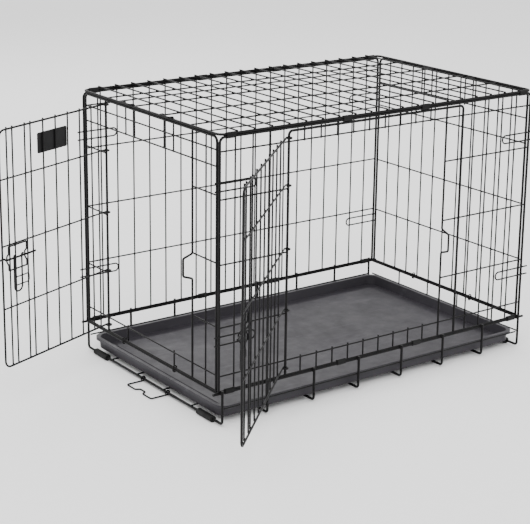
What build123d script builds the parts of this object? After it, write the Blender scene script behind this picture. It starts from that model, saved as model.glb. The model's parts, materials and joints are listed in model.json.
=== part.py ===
from build123d import *
import os
from math import cos, radians, sin

os.makedirs("parts", exist_ok=True)

# A folding wire dog crate: a welded base with a slide-out pan, five welded wire panels and two
# swing doors. X runs along the length, the small door is at the -X end, the large door is in the
# front (-Y) side, Z is up, and the origin is on the floor under the centre of the crate.

# ---- driving dimensions, millimetres ----
LENGTH = 762.0          # outside, along X
WIDTH = 483.0           # outside, along Y
HEIGHT = 552.0          # floor to the top of the highest wire
PITCH = 38.1            # spacing of the upright wires and of the roof's cross wires
ROD_R = 2.4             # frame rods
POST_R = 2.0            # latch posts
WIRE_R = 1.5            # grid wires
WELD = 0.02             # hair gap between wires that are welded to each other
CORNER = 10.0           # bend radius at a frame rod's corners
BASE_CORNER = 6.0       # and at the base's rods

# ---- heights, from the floor ----
FOOT_R = 6.5            # rubber sleeve on the base's end rods
FOOT_AXIS = 6.2         # a little less, so that each sleeve has a flat sole
LIP_Z = 65.0            # rods that the upright panels are hung from
RAIL_R = 1.7            # bottom rail of each upright panel
RAIL_Z = LIP_Z + ROD_R + RAIL_R + WELD
SILL_Z = 98.0
ROOF_WIRE_Z = HEIGHT - WIRE_R
ROOF_ROD_Z = ROOF_WIRE_Z - WIRE_R - ROD_R - WELD
TOP_Z = ROOF_ROD_Z - 2 * ROD_R - WELD
SURROUND_Z = TOP_Z - 2 * ROD_R - 1.2      # clear of the roof clips
SIDE_ROWS = (191.0, 309.0, 429.0)
SIDE_HEAD = 516.0
END_ROWS = (191.0, 311.0, 436.0)
END_HEADS = (488.0, 518.0)
RIGHT_ROWS = (191.0, 309.0, 436.0, 488.0)

# ---- layers, measured from the middle of the crate ----
ROD_X = LENGTH / 2 - ROD_R
ROD_Y = WIDTH / 2 - ROD_R
LAYER = ROD_R + WIRE_R + WELD
STEP = 2 * WIRE_R + WELD
UPRIGHT_X = ROD_X - LAYER
UPRIGHT_Y = ROD_Y - LAYER
ROW_X = UPRIGHT_X + STEP
ROW_Y = UPRIGHT_Y + STEP
END_POST_Y = 230.8
HOOP_X = ROD_X - 2 * ROD_R - WELD

# ---- doorways ----
FRONT_HINGE_X = -6 * PITCH
FRONT_LATCH_X = 4 * PITCH
SURROUND_X = 195.0
END_HINGE_Y = 4 * PITCH
END_LATCH_Y = -4 * PITCH
KEEPER_OUT = 20.0       # how far a latch post is bent outwards round the bolt
KEEPER_HALF = 24.0
FRONT_BOLT_Z = 268.0
END_BOLT_Z = 286.0

# ---- doors ----
DOOR_R = 1.9
LOOP_PLAY = 0.4         # a hinge loop's play round its post
LATCH_GAP = 6.8         # between the middle of a door's free edge and its latch post
DOOR_BOTTOM = 83.0
DOOR_CORNER = 14.0
FRONT_DOOR_ROWS = (197.0, 315.0, 435.0)
FRONT_DOOR_TOP = 523.0
END_DOOR_ROWS = (197.0, 317.0, 442.0)
END_DOOR_TOP = 533.0
FRONT_OPEN = 137.0      # degrees from closed, as stored
END_OPEN = 69.0
LATCH_UPRIGHTS = (23.5, 39.0, 72.5, 88.0)   # back from the free edge
FRAME_OUT = ROD_R + LOOP_PLAY + DOOR_R
ROW_OUT = FRAME_OUT + DOOR_R - WIRE_R
UPRIGHT_OUT = ROW_OUT + STEP
BOLT_R = 2.0
BOLT_OUT = UPRIGHT_OUT + WIRE_R + 0.3 + BOLT_R
HANDLE_R = 1.6
HANDLE_OUT = BOLT_OUT + BOLT_R + 0.3 + HANDLE_R
HANDLE_LEGS = (43.0, 64.0)                  # back from the free edge
TAB_R = 1.2
TAB_DROPS = (40.0, 56.0)
HANDLE_DROP = 68.0

# ---- clips ----
CLIP_PLAY = 0.05
CLIP_WALL = 1.0
CLIP_LENGTH = 20.0
CLIP_XS = (-355.5, -95.25, 95.25, 355.5)
RING_R = 1.25
RING_YS = (-92.0, 92.0)

# ---- pan ----
PAN_BOTTOM = 12.0
PAN_TOP = 35.0
PAN_WALL = 2.2


def straight(plane, centres, radius, length):
    """Parallel wires that stand on a plane, one at each centre."""
    with BuildSketch(plane) as section:
        with Locations(*centres):
            Circle(radius)
    extrude(section.sketch, amount=length)


def bent(points, bend, radius):
    """One wire through the points: straight runs and round bends, a hair apart end to end."""
    with BuildLine() as route:
        FilletPolyline(*points, radius=bend)
    for edge in route.edges():
        is_run = edge.geom_type == GeomType.LINE
        start = edge.position_at(WELD, position_mode=PositionMode.LENGTH) if is_run else edge @ 0
        with BuildSketch(Plane(origin=start, z_dir=edge % 0)) as section:
            Circle(radius)
        if is_run:
            extrude(section.sketch, amount=edge.length - 2 * WELD)
        else:
            sweep(section.sketch, path=edge)


def run(start, end, radius):
    """One straight wire between two points."""
    start, end = Vector(*start), Vector(*end)
    with BuildSketch(Plane(origin=start, z_dir=end - start)) as section:
        Circle(radius)
    extrude(section.sketch, amount=(end - start).length)


def wire(points, bend, radius):
    """One small bent wire in one piece."""
    with BuildLine() as route:
        FilletPolyline(*points, radius=bend)
    path = route.wires()[0]
    with BuildSketch(Plane(origin=path @ 0, z_dir=path % 0)) as section:
        Circle(radius)
    sweep(section.sketch, path=path)


def eye(plane, middle_r, radius, start=0.0, turn=300.0):
    """A round eye of wire, centred on the plane's origin."""
    with BuildLine(plane) as route:
        CenterArc((0, 0), middle_r, start, turn)
    path = route.edges()[0]
    with BuildSketch(Plane(origin=path @ 0, z_dir=path % 0)) as section:
        Circle(radius)
    sweep(section.sketch, path=path)


def strap(x, y, low, high, length):
    """A sheet clip along X, wrapped round two rods that lie one above the other."""
    with BuildSketch(Plane(origin=(x - length / 2, y, (low + high) / 2),
                           x_dir=(0, 0, 1), z_dir=(1, 0, 0))) as section:
        SlotCenterToCenter(high - low, 2 * (ROD_R + CLIP_PLAY + CLIP_WALL))
        SlotCenterToCenter(high - low, 2 * (ROD_R + CLIP_PLAY), mode=Mode.SUBTRACT)
    extrude(section.sketch, amount=length)


def hog_ring(x, y, low, high):
    """A wire ring in an XZ plane, closed round two rods that lie one above the other."""
    r = ROD_R + 0.3 + RING_R
    rise = high - low
    with BuildLine(Plane(origin=(x, y, low), x_dir=(1, 0, 0), z_dir=(0, -1, 0))) as route:
        Line((-r, rise / 2 + 0.6), (-r, rise))
        CenterArc((0, rise), r, 180, -180)
        Line((r, rise), (r, 0))
        CenterArc((0, 0), r, 0, -180)
        Line((-r, 0), (-r, rise / 2 - 0.6))
    path = route.wires()[0]
    with BuildSketch(Plane(origin=path @ 0, z_dir=path % 0)) as section:
        Circle(RING_R)
    sweep(section.sketch, path=path)


def along_x(places, radius, x0, x1):
    """Wires along X between x0 and x1, each place being (y, z)."""
    straight(Plane.YZ.offset(x0), places, radius, x1 - x0)


def along_y(places, radius, y0, y1):
    """Wires along Y between y0 and y1, each place being (x, z)."""
    plane = Plane(origin=(0, y0, 0), x_dir=(1, 0, 0), z_dir=(0, 1, 0))
    straight(plane, [(x, -z) for x, z in places], radius, y1 - y0)


def along_z(places, radius, z0, z1):
    """Upright wires between z0 and z1, each place being (x, y)."""
    straight(Plane.XY.offset(z0), places, radius, z1 - z0)


def save(piece, name):
    """Label one finished piece and write its file."""
    piece.part.label = name
    export_step(piece.part, f"parts/{name}.step")


# ================= base =================
FLOOR_WIRE_Z = FOOT_AXIS + LAYER
LIP_WIRE_Z = 34.0
LIP_OUT_X = ROD_X + LAYER
LIP_OUT_Y = ROD_Y + 2 * ROD_R + WELD
LIP_WIRE_TOP = LIP_Z + ROD_R
LEG_TOP = RAIL_Z + RAIL_R
LONG_YS = [WIDTH / 5 * k for k in (-1.5, -0.5, 0.5, 1.5)]
CROSS_XS = [LENGTH / 7 * k for k in (-2.5, -1.5, -0.5, 0.5, 1.5, 2.5)]
LIP_STUB = 10.0

# Each end of the base is one rod bent up at both ends.
for side, x in (("left", -HOOP_X), ("right", HOOP_X)):
    with BuildPart() as hoop:
        bent([(x, -LIP_OUT_Y, LEG_TOP), (x, -LIP_OUT_Y, FOOT_AXIS),
              (x, LIP_OUT_Y, FOOT_AXIS), (x, LIP_OUT_Y, LEG_TOP)], BASE_CORNER, ROD_R)
    save(hoop, f"base_{side}_hoop")

with BuildPart() as lip_rods:
    along_x([(-ROD_Y, LIP_Z), (ROD_Y, LIP_Z)], ROD_R, -LENGTH / 2 - LIP_STUB, LENGTH / 2 + LIP_STUB)
    end = ROD_Y - ROD_R - WELD
    along_y([(-ROD_X, LIP_Z), (ROD_X, LIP_Z)], ROD_R, -end, end)
save(lip_rods, "base_hinge_rods")

# Cross rods run under the floor and up both long sides; long wires turn up at the right end only,
# so that the pan can slide out to the left.
with BuildPart() as cross_wires:
    for x in CROSS_XS:
        bent([(x, -LIP_OUT_Y, LEG_TOP), (x, -LIP_OUT_Y, FOOT_AXIS),
              (x, LIP_OUT_Y, FOOT_AXIS), (x, LIP_OUT_Y, LEG_TOP)], BASE_CORNER, ROD_R)
save(cross_wires, "base_cross_wires")

with BuildPart() as long_wires:
    for y in LONG_YS:
        bent([(-HOOP_X - ROD_R, y, FLOOR_WIRE_Z), (LIP_OUT_X, y, FLOOR_WIRE_Z),
              (LIP_OUT_X, y, LIP_WIRE_TOP)], 5.0, WIRE_R)
save(long_wires, "base_long_wires")

with BuildPart() as lip_wires:
    reach = HOOP_X - ROD_R - WELD
    along_x([(-LIP_OUT_Y + LAYER, LIP_WIRE_Z), (LIP_OUT_Y - LAYER, LIP_WIRE_Z)], WIRE_R, -reach, reach)
    reach = ROD_Y - ROD_R
    along_y([(LIP_OUT_X - STEP, LIP_WIRE_Z)], WIRE_R, -reach, reach)
save(lip_wires, "base_lip_wires")

FOOT_Y = 190.0
FOOT_LENGTH = 48.0
FOOT_TOP = 11.6         # pared flat, clear of the sliding tray
with BuildPart() as feet:
    for x in (-HOOP_X, HOOP_X):
        for y in (-FOOT_Y, FOOT_Y):
            with BuildSketch(Plane(origin=(x, y - FOOT_LENGTH / 2, FOOT_AXIS),
                                   x_dir=(1, 0, 0), z_dir=(0, 1, 0))) as section:
                Circle(FOOT_R)
                with Locations((0, FOOT_AXIS + FOOT_R / 2), (0, FOOT_AXIS - FOOT_TOP - FOOT_R / 2)):
                    Rectangle(2 * FOOT_R, FOOT_R, mode=Mode.SUBTRACT)
                Circle(ROD_R + WELD, mode=Mode.SUBTRACT)
            extrude(section.sketch, amount=FOOT_LENGTH)
save(feet, "rubber_feet")

# ================= pan =================
PAN_X0 = -371.0
PAN_X1 = 376.0
PAN_HALF_Y = 234.0
PAN_RIM = 7.0           # flat rim round the tray
PAN_SLOPE = 6.0         # degrees that the walls lean out
with BuildPart() as pan:
    middle = (PAN_X0 + PAN_X1) / 2
    span_x, span_y = PAN_X1 - PAN_X0, 2 * PAN_HALF_Y
    depth = PAN_TOP - PAN_BOTTOM

    def outline(inset, height):
        """A rounded rectangle, inset from the pan's outer edge."""
        with BuildSketch(Plane.XY.offset(height)) as shape:
            with Locations((middle, 0)):
                RectangleRounded(span_x - 2 * inset, span_y - 2 * inset, 22 - inset / 3)
        return shape.sketch

    # rolled rim, then the tray below it, then its hollow
    extrude(outline(0, PAN_TOP), amount=-6.0)
    extrude(outline(PAN_WALL, PAN_TOP - PAN_WALL), amount=-6.0, mode=Mode.SUBTRACT)
    extrude(outline(PAN_RIM - PAN_WALL, PAN_TOP - 0.5), amount=-(depth - 0.5), taper=PAN_SLOPE)
    extrude(outline(PAN_RIM, PAN_TOP), amount=-(depth - PAN_WALL), taper=PAN_SLOPE, mode=Mode.SUBTRACT)
    # raised platform inside a shallow gutter
    extrude(outline(PAN_RIM + 26, PAN_BOTTOM + PAN_WALL - 0.2), amount=2.6, taper=40)
    extrude(outline(PAN_RIM + 28, PAN_BOTTOM), amount=2.4, taper=40, mode=Mode.SUBTRACT)
save(pan, "pan")

# The pan stop is a wire bail that turns on the left end rod. Stored lowered, it points outwards.
STOP_YS = (-58.0, 30.0)
STOP_REACH = 37.0
STOP_LOOP = ROD_R + 0.3 + WIRE_R
with BuildPart() as pan_stop:
    low, far = FOOT_AXIS - STOP_LOOP, -HOOP_X - STOP_REACH
    for y in STOP_YS:
        eye(Plane(origin=(-HOOP_X, y, FOOT_AXIS), x_dir=(1, 0, 0), z_dir=(0, -1, 0)),
            STOP_LOOP, WIRE_R, -90, 290)
    middle = sum(STOP_YS) / 2
    near = -HOOP_X - WELD
    bent([(near, STOP_YS[0], low), (far, STOP_YS[0], low), (far, middle - 14, low),
          (far + 9, middle - 8, low), (far + 9, middle + 8, low), (far, middle + 14, low),
          (far, STOP_YS[1], low), (near, STOP_YS[1], low)], 4.0, WIRE_R)
save(pan_stop, "pan_stop")

# ================= front and back panels =================
PITCHES = [k * PITCH for k in range(-9, 10)]
POST_INNER_X = ROD_X - ROD_R - WELD
FOOT_OF_POST = RAIL_Z + RAIL_R + WELD


def side_frame(y):
    """Bottom rail, and one rod bent into two posts and the top rail."""
    along_x([(y, RAIL_Z)], RAIL_R, -LENGTH / 2, LENGTH / 2)
    bent([(-ROD_X, y, FOOT_OF_POST), (-ROD_X, y, TOP_Z), (ROD_X, y, TOP_Z), (ROD_X, y, FOOT_OF_POST)],
         CORNER, ROD_R)


def latch_post(frame, low, high, bolt_z):
    """An upright that is bent outwards into a keeper for the door's bolt."""
    out, half = -KEEPER_OUT, KEEPER_HALF
    points = [(0, 0, low), (0, 0, bolt_z - half), (0, out, bolt_z - half + 7),
              (0, out, bolt_z + half - 7), (0, 0, bolt_z + half), (0, 0, high)]
    bent([frame.from_local_coords(Vector(*p)) for p in points], 4.0, POST_R)


with BuildPart() as back_frame:
    side_frame(ROD_Y)
save(back_frame, "back_panel_frame")

with BuildPart() as back_mesh:
    along_z([(x, UPRIGHT_Y) for x in PITCHES], WIRE_R, LIP_Z + ROD_R + 0.1, TOP_Z + ROD_R)
    along_x([(ROW_Y, z) for z in SIDE_ROWS + (SIDE_HEAD,)], WIRE_R, -POST_INNER_X, POST_INNER_X)
save(back_mesh, "back_panel_mesh")

with BuildPart() as front_frame:
    side_frame(-ROD_Y)
save(front_frame, "front_panel_frame")

with BuildPart() as surround:
    bent([(FRONT_HINGE_X, -ROD_Y, FOOT_OF_POST), (FRONT_HINGE_X, -ROD_Y, SURROUND_Z),
          (SURROUND_X, -ROD_Y, SURROUND_Z), (SURROUND_X, -ROD_Y, FOOT_OF_POST)], 8.0, ROD_R)
save(surround, "front_door_surround")

with BuildPart() as front_post:
    latch_post(Plane(origin=(FRONT_LATCH_X, -ROD_Y, 0)), FOOT_OF_POST,
               SURROUND_Z - ROD_R - WELD, FRONT_BOLT_Z)
save(front_post, "front_latch_post")

FRONT_BAYS = ((-POST_INNER_X, FRONT_HINGE_X - ROD_R - WELD),
              (FRONT_HINGE_X + ROD_R + WELD, FRONT_LATCH_X - POST_R - WELD),
              (FRONT_LATCH_X + POST_R + WELD, SURROUND_X - ROD_R - WELD),
              (SURROUND_X + ROD_R + WELD, POST_INNER_X))
with BuildPart() as front_mesh:
    beside = [x for x in PITCHES if x < FRONT_HINGE_X - 1 or x > SURROUND_X + 1]
    across = [x for x in PITCHES if FRONT_HINGE_X + 1 < x < FRONT_LATCH_X - 1]
    along_z([(x, -UPRIGHT_Y) for x in beside], WIRE_R, LIP_Z + ROD_R + 0.1, TOP_Z + ROD_R)
    along_z([(x, -UPRIGHT_Y) for x in across], WIRE_R, SIDE_HEAD - STEP, TOP_Z + ROD_R)
    along_z([(x, -UPRIGHT_Y) for x in across], WIRE_R, LIP_Z + ROD_R + 0.1, SILL_Z + STEP)
    for bay, (x0, x1) in enumerate(FRONT_BAYS):
        rows = (SILL_Z, SIDE_HEAD) if bay == 1 else (SILL_Z,) + SIDE_ROWS + (SIDE_HEAD,)
        along_x([(-ROW_Y, z) for z in rows], WIRE_R, x0, x1)
save(front_mesh, "front_panel_mesh")

# Narrow loops on the outside steady the end panels at each corner.
LOOP_Y = ROD_Y + LAYER
for side, sign in (("front", -1), ("back", 1)):
    with BuildPart() as loops:
        for x0, x1 in ((-391, -302), (391, 302)):
            for z in (168.0, 454.0):
                bent([(x0, sign * LOOP_Y, z + 8), (x1, sign * LOOP_Y, z + 8),
                      (x1, sign * LOOP_Y, z - 8), (x0, sign * LOOP_Y, z - 8)], 7.8, WIRE_R)
    save(loops, f"{side}_corner_loops")

# ================= end panels =================
POST_INNER_Y = END_POST_Y - ROD_R - WELD
HOOKS = ((52.0, 84.0), (-84.0, -52.0))
HOOK_FOOT = END_HEADS[0] - STEP


def end_frame(x):
    """Bottom rail, and one rod bent into two posts and the top rail."""
    along_y([(x, RAIL_Z)], RAIL_R, -END_POST_Y - ROD_R, END_POST_Y + ROD_R)
    bent([(x, -END_POST_Y, FOOT_OF_POST), (x, -END_POST_Y, TOP_Z), (x, END_POST_Y, TOP_Z),
          (x, END_POST_Y, FOOT_OF_POST)], CORNER, ROD_R)


with BuildPart() as left_frame:
    end_frame(-ROD_X)
    along_z([(-ROD_X, END_HINGE_Y)], ROD_R, FOOT_OF_POST, TOP_Z - ROD_R - WELD)
save(left_frame, "left_end_frame")

with BuildPart() as end_post:
    latch_post(Plane(origin=(-ROD_X, END_LATCH_Y, 0), x_dir=(0, -1, 0)), FOOT_OF_POST,
               TOP_Z - ROD_R - WELD, END_BOLT_Z)
save(end_post, "end_latch_post")

END_BAYS = ((-POST_INNER_Y, END_LATCH_Y - POST_R - WELD),
            (END_LATCH_Y + POST_R + WELD, END_HINGE_Y - ROD_R - WELD),
            (END_HINGE_Y + ROD_R + WELD, POST_INNER_Y))
with BuildPart() as left_mesh:
    foot = LIP_Z + ROD_R + 0.1
    along_z([(-UPRIGHT_X, y) for y in (-5 * PITCH, 5 * PITCH)], WIRE_R, foot, TOP_Z + ROD_R)
    along_z([(-UPRIGHT_X, y) for y in (-84.0, 84.0)], WIRE_R, foot, SILL_Z + STEP)
    for bay, (y0, y1) in enumerate(END_BAYS):
        rows = (SILL_Z,) + END_HEADS if bay == 1 else (SILL_Z,) + END_ROWS + END_HEADS
        along_y([(-ROW_X, z) for z in rows], WIRE_R, y0, y1)
save(left_mesh, "left_end_mesh")

with BuildPart() as left_hooks:
    over, out = ROOF_ROD_Z + ROD_R + WIRE_R + 0.05, -ROD_X - 6.0
    for y0, y1 in HOOKS:
        bent([(-UPRIGHT_X, y0, HOOK_FOOT), (-UPRIGHT_X, y0, over), (out, y0, over),
              (out, y1, over), (-UPRIGHT_X, y1, over), (-UPRIGHT_X, y1, HOOK_FOOT)], 3.5, WIRE_R)
save(left_hooks, "left_end_hooks")

with BuildPart() as right_frame:
    end_frame(ROD_X)
save(right_frame, "right_end_frame")

with BuildPart() as right_mesh:
    along_z([(UPRIGHT_X, k * PITCH) for k in range(-5, 6)], WIRE_R, LIP_Z + ROD_R + 0.1, TOP_Z + 1.5)
    along_y([(ROW_X, z) for z in RIGHT_ROWS], WIRE_R, -POST_INNER_Y, POST_INNER_Y)
save(right_mesh, "right_end_mesh")

# The folding end's hooks stop just under the roof wires, so that the end can swing in.
with BuildPart() as right_hooks:
    top = ROOF_WIRE_Z - 2 * WIRE_R - 0.8 - WIRE_R
    for y0, y1 in HOOKS:
        bent([(UPRIGHT_X, y0, HOOK_FOOT), (UPRIGHT_X, y0, top), (UPRIGHT_X, y1, top),
              (UPRIGHT_X, y1, HOOK_FOOT)], 8.0, WIRE_R)
save(right_hooks, "right_end_hooks")

# ================= roof =================
with BuildPart() as roof_frame:
    x, y, c = ROD_X, ROD_Y, 12.0
    bent([(0, -y, ROOF_ROD_Z), (x, -y, ROOF_ROD_Z), (x, y, ROOF_ROD_Z), (-x, y, ROOF_ROD_Z),
          (-x, -y, ROOF_ROD_Z), (-0.04, -y, ROOF_ROD_Z)], c, ROD_R)
save(roof_frame, "roof_frame")

with BuildPart() as roof_mesh:
    along_y([(x, ROOF_WIRE_Z) for x in PITCHES], WIRE_R, -WIDTH / 2, WIDTH / 2)
    along_x([(y, ROOF_WIRE_Z - STEP) for y in LONG_YS], WIRE_R, -POST_INNER_X, POST_INNER_X)
save(roof_mesh, "roof_mesh")

# ================= clips =================
for name, y, low, high in (("front_hinge_clips", -ROD_Y, LIP_Z, RAIL_Z),
                           ("back_hinge_clips", ROD_Y, LIP_Z, RAIL_Z),
                           ("front_roof_clips", -ROD_Y, TOP_Z, ROOF_ROD_Z),
                           ("back_roof_clips", ROD_Y, TOP_Z, ROOF_ROD_Z)):
    with BuildPart() as clips:
        for x in CLIP_XS:
            strap(x, y, low, high, CLIP_LENGTH)
    save(clips, name)

for side, x in (("left", -ROD_X), ("right", ROD_X)):
    with BuildPart() as rings:
        for y in RING_YS:
            hog_ring(x, y, LIP_Z, RAIL_Z)
    save(rings, f"{side}_end_rings")

# ================= doors =================
def build_door(name, frame, width, rows, top, bolt_z, plain_uprights):
    """A door and its latch, in a frame whose origin is the hinge post, with X towards the free edge."""
    def at(*points):
        return [frame.from_local_coords(Vector(u, -out, z)) for u, out, z in points]

    def level(z):
        return Plane(origin=frame.from_local_coords(Vector(0, 0, z)), x_dir=frame.x_dir, z_dir=(0, 0, 1))

    with BuildPart() as door_frame:
        bent(at((WELD, FRAME_OUT, DOOR_BOTTOM), (width, FRAME_OUT, DOOR_BOTTOM),
                (width, FRAME_OUT, top), (WELD, FRAME_OUT, top)), DOOR_CORNER, DOOR_R)
        for z in (DOOR_BOTTOM, top):
            eye(level(z), FRAME_OUT, DOOR_R, -90, -290)
    save(door_frame, f"{name}_frame")

    with BuildPart() as door_mesh:
        for z in rows:
            run(*at((WELD, ROW_OUT, z), (width - DOOR_R - WELD, ROW_OUT, z)), WIRE_R)
            eye(level(z), ROW_OUT, WIRE_R, -90, -290)
        spacing = (width - LATCH_UPRIGHTS[-1]) / (plain_uprights + 1)
        places = [spacing * (k + 1) for k in range(plain_uprights)]
        places += [width - back for back in LATCH_UPRIGHTS]
        feet = at(*[(u, UPRIGHT_OUT, 0) for u in places])
        along_z([(p.X, p.Y) for p in feet], WIRE_R, DOOR_BOTTOM - 3, top + 3)
    save(door_mesh, f"{name}_mesh")

    # a wire guide for the bolt, welded to two uprights and bowed out over the bolt
    near, far = width - LATCH_UPRIGHTS[0], width - LATCH_UPRIGHTS[2]
    flat, bowed = UPRIGHT_OUT + STEP, BOLT_OUT + BOLT_R + 0.3 + WIRE_R
    with BuildPart() as guide:
        middle = (near + far) / 2
        bent(at((middle, flat, bolt_z + 25), (near, flat, bolt_z + 25), (near, flat, bolt_z + 11),
                (near, bowed, bolt_z + 5), (near, bowed, bolt_z - 5), (near, flat, bolt_z - 11),
                (near, flat, bolt_z - 21), (far, flat, bolt_z - 21), (far, flat, bolt_z - 11),
                (far, bowed, bolt_z - 5), (far, bowed, bolt_z + 5), (far, flat, bolt_z + 11),
                (far, flat, bolt_z + 25), (middle - 0.04, flat, bolt_z + 25)), 2.0, WIRE_R)
    save(guide, f"{name}_bolt_guide")

    with BuildPart() as bolt:
        wire(at((width - 98, BOLT_OUT, bolt_z), (width - 18, BOLT_OUT, bolt_z),
                (width - 12, BOLT_OUT, bolt_z + 4), (width + 1, BOLT_OUT, bolt_z + 4)), 4.0, BOLT_R)
    save(bolt, f"{name}_bolt")

    # a U handle that hangs from the bolt by two hooked ends, with a latch tab at one side
    near, far = width - HANDLE_LEGS[0], width - HANDLE_LEGS[1]
    lift = HANDLE_OUT - BOLT_OUT
    with BuildPart() as handle:
        bent(at((near, BOLT_OUT, bolt_z + lift), (near, HANDLE_OUT, bolt_z + lift),
                (near, HANDLE_OUT, bolt_z - HANDLE_DROP), (far, HANDLE_OUT, bolt_z - HANDLE_DROP),
                (far, HANDLE_OUT, bolt_z + lift), (far, BOLT_OUT, bolt_z + lift)),
             [lift - 0.1, 9.5, 9.5, lift - 0.1], HANDLE_R)
    save(handle, f"{name}_handle")
    with BuildPart() as tab:
        inner = far + HANDLE_R + WELD, near - HANDLE_R - WELD
        for drop in TAB_DROPS:
            run(*at((inner[0], HANDLE_OUT, bolt_z - drop), (inner[1], HANDLE_OUT, bolt_z - drop)), TAB_R)
        start = far - HANDLE_R - WELD
        high, low = bolt_z - TAB_DROPS[0], bolt_z - TAB_DROPS[1]
        bent(at((start, HANDLE_OUT, high), (far - 19, HANDLE_OUT, high),
                (far - 19, HANDLE_OUT, low), (start, HANDLE_OUT, low)), 5.0, TAB_R)
    save(tab, f"{name}_handle_tab")


turn = radians(FRONT_OPEN)
front_frame_axes = Plane(origin=(FRONT_HINGE_X, -ROD_Y, 0), x_dir=(cos(turn), -sin(turn), 0))
build_door("front_door", front_frame_axes, FRONT_LATCH_X - FRONT_HINGE_X - LATCH_GAP,
           FRONT_DOOR_ROWS, FRONT_DOOR_TOP, FRONT_BOLT_Z, 7)

turn = radians(END_OPEN)
end_frame_axes = Plane(origin=(-ROD_X, END_HINGE_Y, 0), x_dir=(-sin(turn), -cos(turn), 0))
build_door("end_door", end_frame_axes, END_HINGE_Y - END_LATCH_Y - LATCH_GAP,
           END_DOOR_ROWS, END_DOOR_TOP, END_BOLT_Z, 5)

# A plain plate on the outside of the end door.
PLATE_U = (106.0, 188.0)
PLATE_Z = (470.0, 509.0)
PLATE_THICK = 1.2
with BuildPart() as plate:
    middle = end_frame_axes.from_local_coords(
        Vector(sum(PLATE_U) / 2, -(UPRIGHT_OUT + WIRE_R + WELD), sum(PLATE_Z) / 2))
    outwards = -end_frame_axes.y_dir
    with BuildSketch(Plane(origin=middle, x_dir=end_frame_axes.x_dir, z_dir=outwards)) as blank:
        RectangleRounded(PLATE_U[1] - PLATE_U[0], PLATE_Z[1] - PLATE_Z[0], 3)
    extrude(blank.sketch, amount=PLATE_THICK)
    with BuildSketch(Plane(origin=middle + outwards * PLATE_THICK, x_dir=end_frame_axes.x_dir,
                           z_dir=outwards)) as border:
        RectangleRounded(PLATE_U[1] - PLATE_U[0], PLATE_Z[1] - PLATE_Z[0], 3)
        RectangleRounded(PLATE_U[1] - PLATE_U[0] - 4, PLATE_Z[1] - PLATE_Z[0] - 4, 2,
                         mode=Mode.SUBTRACT)
    extrude(border.sketch, amount=0.6)
save(plate, "name_plate")
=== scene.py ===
"""Looks for the wire dog crate: coated wire, moulded tray, welds, studio floor, light and camera."""

import json
import math

import bpy
import numpy as np
from mathutils import Matrix, Vector


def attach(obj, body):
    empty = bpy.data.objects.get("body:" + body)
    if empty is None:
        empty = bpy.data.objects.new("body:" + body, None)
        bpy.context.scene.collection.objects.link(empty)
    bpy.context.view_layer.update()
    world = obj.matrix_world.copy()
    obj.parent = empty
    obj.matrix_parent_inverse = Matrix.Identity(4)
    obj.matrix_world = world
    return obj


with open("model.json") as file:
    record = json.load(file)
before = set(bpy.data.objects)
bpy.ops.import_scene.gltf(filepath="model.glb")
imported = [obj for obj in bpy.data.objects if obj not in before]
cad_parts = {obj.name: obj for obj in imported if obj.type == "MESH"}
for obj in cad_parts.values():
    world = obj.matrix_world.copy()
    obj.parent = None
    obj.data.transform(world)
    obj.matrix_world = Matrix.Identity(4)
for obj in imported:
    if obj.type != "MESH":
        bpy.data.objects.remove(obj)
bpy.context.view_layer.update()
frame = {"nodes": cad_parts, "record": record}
NODES = frame["nodes"]


# ---------------- materials ----------------


class Shader:
    """A node material with a Principled shader; each call adds nodes to it."""

    def __init__(self, name, **sockets):
        self.material = bpy.data.materials.new(name)
        self.material.use_nodes = True
        self.tree = self.material.node_tree
        self.main = self.tree.nodes["Principled BSDF"]
        self.coords = self.tree.nodes.new("ShaderNodeTexCoord").outputs["Object"]
        for socket, value in sockets.items():
            self.main.inputs[socket.replace("_", " ")].default_value = value

    def add(self, kind, links=None, **values):
        node = self.tree.nodes.new(kind)
        for key, value in values.items():
            if hasattr(node, key):
                setattr(node, key, value)
            else:
                node.inputs[key.replace("_", " ")].default_value = value
        for socket, source in (links or {}).items():
            self.tree.links.new(source, node.inputs[socket])
        return node

    def noise(self, scale, detail=3.0, roughness=0.5, stretch=None):
        """Noise with features about 1/scale metres across."""
        source = self.coords
        if stretch:
            source = self.add("ShaderNodeMapping", {"Vector": source}, Scale=stretch).outputs["Vector"]
        return self.add("ShaderNodeTexNoise", {"Vector": source}, Scale=scale, Detail=detail,
                        Roughness=roughness).outputs["Fac"]

    def spread(self, factor, low, high, out_low=0.0, out_high=1.0):
        """A factor between low and high, stretched to another range."""
        return self.add("ShaderNodeMapRange", {"Value": factor}, **{
            "From Min": low, "From Max": high, "To Min": out_low, "To Max": out_high}).outputs["Result"]

    def mix(self, factor, first, second):
        """A colour between two, each a socket or three numbers."""
        node = self.tree.nodes.new("ShaderNodeMix")
        node.data_type = "RGBA"
        self.tree.links.new(factor, node.inputs["Factor"])
        for socket, value in ((node.inputs[6], first), (node.inputs[7], second)):
            if isinstance(value, bpy.types.NodeSocket):
                self.tree.links.new(value, socket)
            else:
                socket.default_value = (*value, 1.0)
        return node.outputs[2]

    def bump(self, height, distance, strength=1.0, under=None):
        links = {"Height": height}
        if under:
            links["Normal"] = under
        return self.add("ShaderNodeBump", links, Distance=distance, Strength=strength).outputs["Normal"]

    def feed(self, socket, source):
        self.tree.links.new(source, self.main.inputs[socket])


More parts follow.
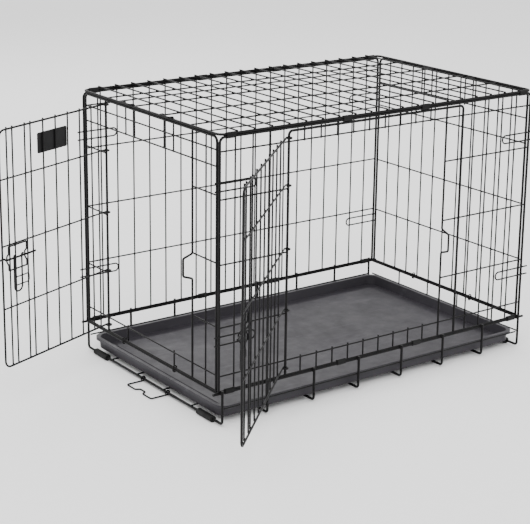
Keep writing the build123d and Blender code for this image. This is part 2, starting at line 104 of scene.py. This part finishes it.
def coated_steel(name, dark, light, rough):
    """Black electro-coated steel: satin, slightly uneven, rubbed paler where it is handled."""
    s = Shader(name, Specular_IOR_Level=0.1)
    cloud = s.noise(9.0, 4.0)
    fine = s.noise(900.0, 2.0)
    body = s.mix(s.spread(cloud, 0.35, 0.7), dark, light)
    dust = s.spread(s.noise(55.0, 6.0, 0.65), 0.62, 0.78, 0.0, 0.35)
    s.feed("Base Color", s.mix(dust, body, tuple(2.4 * c for c in light)))
    s.feed("Roughness", s.spread(s.noise(140.0, 4.0), 0.3, 0.7, rough - 0.07, rough + 0.1))
    s.feed("Normal", s.bump(fine, 0.00006, 0.6, s.bump(s.noise(160.0, 2.0), 0.0002, 0.35)))
    return s.material


wire_black = coated_steel("wire_black", (0.0038, 0.0037, 0.0039), (0.0090, 0.0087, 0.0091), 0.40)
clip_black = coated_steel("clip_black", (0.004, 0.004, 0.004), (0.010, 0.0097, 0.010), 0.34)


def tray_plastic():
    """Moulded black plastic with a fine pebble grain, faint scuffs along its length and settled dust."""
    s = Shader("tray_plastic", Specular_IOR_Level=0.25)
    grain = s.add("ShaderNodeTexVoronoi", {"Vector": s.coords}, Scale=620.0).outputs["Distance"]
    scuff = s.spread(s.noise(6.0, 9.0, 0.72, (1.0, 9.0, 9.0)), 0.56, 0.72)
    cloud = s.spread(s.noise(4.5, 5.0), 0.32, 0.72)
    body = s.mix(cloud, (0.0190, 0.0174, 0.0212), (0.0330, 0.0306, 0.0366))
    s.feed("Base Color", s.mix(scuff, body, (0.052, 0.049, 0.057)))
    s.feed("Roughness", s.spread(s.noise(26.0, 6.0, 0.6), 0.3, 0.72, 0.42, 0.62))
    s.feed("Normal", s.bump(grain, 0.00025, 0.45, s.bump(s.noise(14.0, 3.0), 0.0012, 0.25)))
    return s.material


def soft_rubber():
    """Matt black rubber, faintly mottled."""
    s = Shader("soft_rubber", Specular_IOR_Level=0.2)
    mottle = s.spread(s.noise(60.0, 5.0), 0.4, 0.7)
    s.feed("Base Color", s.mix(mottle, (0.006, 0.006, 0.006), (0.014, 0.014, 0.0135)))
    s.feed("Roughness", s.spread(s.noise(90.0, 4.0), 0.3, 0.7, 0.62, 0.82))
    s.feed("Normal", s.bump(s.noise(700.0, 3.0), 0.0002, 0.5))
    return s.material


def plate_plastic():
    """Smooth black plastic with a fine grain."""
    s = Shader("plate_plastic", Specular_IOR_Level=0.15)
    mottle = s.spread(s.noise(35.0, 5.0), 0.35, 0.7)
    s.feed("Base Color", s.mix(mottle, (0.0035, 0.0035, 0.0038), (0.0075, 0.0075, 0.008)))
    s.feed("Roughness", s.spread(s.noise(70.0, 5.0), 0.3, 0.7, 0.36, 0.52))
    s.feed("Normal", s.bump(s.noise(1100.0, 2.0), 0.00015, 0.5))
    return s.material


FINISHES = {"black_wire": wire_black, "clip_steel": clip_black, "pan_plastic": tray_plastic(),
            "rubber": soft_rubber(), "plate_plastic": plate_plastic()}
SLOT_OF = {part["node"]: part["material_slot"] for part in frame["record"]["subparts"]}
for name, node in NODES.items():
    node.data.materials.clear()
    node.data.materials.append(FINISHES[SLOT_OF[name]])

# ---------------- welds ----------------

SAME_POINT_DECIMALS = 6     # metres
THICKEST_WIRE = 0.0027      # radius
SHORTEST_WIRE = 5           # radii
LEAST_CROSSING = 0.7        # sine of the angle between two wires
LONGEST_GAP = 0.0003        # between two wires that are welded
WELD_SPREAD = 1.55          # a weld's half length, in wire radii
WELD_DEPTH = 0.8            # its half height, in wire radii


def straight_wires(node):
    """Start, direction, length and radius of each straight wire in a CAD object, in metres."""
    mesh = node.data
    points = np.empty(len(mesh.vertices) * 3)
    mesh.vertices.foreach_get("co", points)
    points = points.reshape(-1, 3)
    world_matrix = np.array(node.matrix_world)
    points = points @ world_matrix[:3, :3].T + world_matrix[:3, 3]
    _, owner = np.unique(np.round(points, SAME_POINT_DECIMALS), axis=0, return_inverse=True)
    owner = owner.reshape(-1)
    edges = np.empty(len(mesh.edges) * 2, dtype=np.int64)
    mesh.edges.foreach_get("vertices", edges)
    a, b = owner[edges.reshape(-1, 2)].T
    label = np.arange(owner.max() + 1)
    while True:
        lowest = np.minimum(label[a], label[b])
        before = label.copy()
        np.minimum.at(label, a, lowest)
        np.minimum.at(label, b, lowest)
        label = label[label]
        if (label == before).all():
            break
    island = label[owner]
    found = []
    for name in np.unique(island):
        cloud = points[island == name]
        middle = (cloud.max(axis=0) + cloud.min(axis=0)) / 2
        direction = np.linalg.svd(cloud - cloud.mean(axis=0), full_matrices=False)[2][0]
        along = (cloud - middle) @ direction
        radius = np.linalg.norm(cloud - middle - np.outer(along, direction), axis=1).max()
        length = along.max() - along.min()
        if radius < THICKEST_WIRE and length > SHORTEST_WIRE * radius:
            found.append((middle + direction * along.min(), direction, length, radius))
    return found


def crossings(wires):
    """Contact point, wire radius and axes wherever two of the wires cross and touch."""
    for i, (p, u, reach, r) in enumerate(wires):
        for q, v, other_reach, other_r in wires[i + 1:]:
            normal = np.cross(u, v)
            size = np.linalg.norm(normal)
            if size < LEAST_CROSSING:
                continue
            normal /= size
            apart = (q - p) @ normal
            if abs(abs(apart) - r - other_r) > LONGEST_GAP:
                continue
            s = np.linalg.det([q - p, v, np.cross(u, v)]) / size ** 2
            t = np.linalg.det([q - p, u, np.cross(u, v)]) / size ** 2
            if -other_r < s < reach + other_r and -r < t < other_reach + r:
                yield p + u * s + normal * math.copysign(r, apart), min(r, other_r), u, v, normal


def add_welds(body, nodes):
    """One piece with the small welds at a body's wire crossings."""
    wires = [w for node in nodes for w in straight_wires(node)]
    bpy.ops.mesh.primitive_ico_sphere_add(subdivisions=1, radius=1.0)
    ball = bpy.context.object
    shape = np.array([v.co for v in ball.data.vertices])
    faces = np.array([f.vertices[:] for f in ball.data.polygons])
    bpy.data.objects.remove(ball)
    all_points, all_faces = [], []
    for place, radius, u, v, normal in crossings(wires):
        axes = np.array([u * WELD_SPREAD, v * WELD_SPREAD, normal * WELD_DEPTH]) * radius
        all_faces.append(faces + len(shape) * len(all_points))
        all_points.append(place + shape @ axes)
    if not all_points:
        return
    mesh = bpy.data.meshes.new(f"welds_{body}")
    mesh.from_pydata(np.concatenate(all_points).tolist(), [], np.concatenate(all_faces).tolist())
    mesh.validate()
    mesh.polygons.foreach_set("use_smooth", [True] * len(mesh.polygons))
    mesh.materials.append(weld_black)
    welds = bpy.data.objects.new(f"welds_{body}", mesh)
    bpy.context.scene.collection.objects.link(welds)
    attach(welds, body)


weld_black = coated_steel("weld_black", (0.0045, 0.0044, 0.0045), (0.0105, 0.0102, 0.0105), 0.5)
WIRE_SLOT = "black_wire"
for body, names in frame["record"]["behaviour"]["bodies"].items():
    add_welds(body, [NODES[n] for n in names if SLOT_OF[n] == WIRE_SLOT])

# ---------------- floor, light, camera ----------------

PALE = 0.92
FLOOR_SIZE = 24.0
AIR_STRENGTH = 1.55
KEY_POWER, FILL_POWER, BACK_POWER = 70.0, 20.0, 45.0
MIDDLE = (0.0, 0.0, 0.2)
bpy.ops.mesh.primitive_plane_add(size=FLOOR_SIZE, location=(0.0, 0.0, 0.0))
floor = bpy.context.object
floor.name = "studio_floor"
paper = Shader("studio_paper")
paper.feed("Base Color", paper.mix(paper.noise(2.0, 2.0), (PALE, PALE, PALE), (PALE + 0.02,) * 3))
paper.feed("Roughness", paper.spread(paper.noise(3.0, 2.0), 0.3, 0.7, 0.85, 0.95))
floor.data.materials.append(paper.material)

world = bpy.data.worlds.new("studio_air")
bpy.context.scene.world = world
world.use_nodes = True
air = world.node_tree.nodes["Background"]
air.inputs["Color"].default_value = (1.0, 1.0, 1.0, 1.0)
air.inputs["Strength"].default_value = AIR_STRENGTH


def soft_box(name, place, target, width, height, power):
    """A rectangular lamp that faces the target."""
    light = bpy.data.lights.new(name, "AREA")
    light.shape = "RECTANGLE"
    light.size, light.size_y, light.energy = width, height, power
    lamp = bpy.data.objects.new(name, light)
    bpy.context.scene.collection.objects.link(lamp)
    lamp.location = place
    lamp.rotation_euler = (Vector(target) - Vector(place)).to_track_quat("-Z", "Y").to_euler()


soft_box("key_light", (-1.6, -1.6, 3.0), MIDDLE, 2.4, 2.0, KEY_POWER)
soft_box("fill_light", (2.6, -2.0, 1.6), MIDDLE, 1.8, 1.8, FILL_POWER)
soft_box("back_light", (0.6, 3.0, 2.4), MIDDLE, 3.0, 1.6, BACK_POWER)

CAMERA_PLACE = Vector((-1.8624, -2.4103, 1.1383))
CAMERA_TURN, CAMERA_TILT, CAMERA_ROLL = (math.radians(a) for a in (-36.085, 15.138, 0.732))
CAMERA_LENS, CAMERA_SHIFT, CAMERA_REACH = 105.47, -0.113, 60.0
lens = bpy.data.cameras.new("camera")
lens.lens = CAMERA_LENS
lens.shift_y = CAMERA_SHIFT
lens.clip_end = CAMERA_REACH
camera = bpy.data.objects.new("camera", lens)
bpy.context.scene.collection.objects.link(camera)
camera.matrix_world = (Matrix.Translation(CAMERA_PLACE) @ Matrix.Rotation(CAMERA_TURN, 4, "Z")
                       @ Matrix.Rotation(math.radians(90.0) - CAMERA_TILT, 4, "X")
                       @ Matrix.Rotation(CAMERA_ROLL, 4, "Z"))
bpy.context.scene.camera = camera
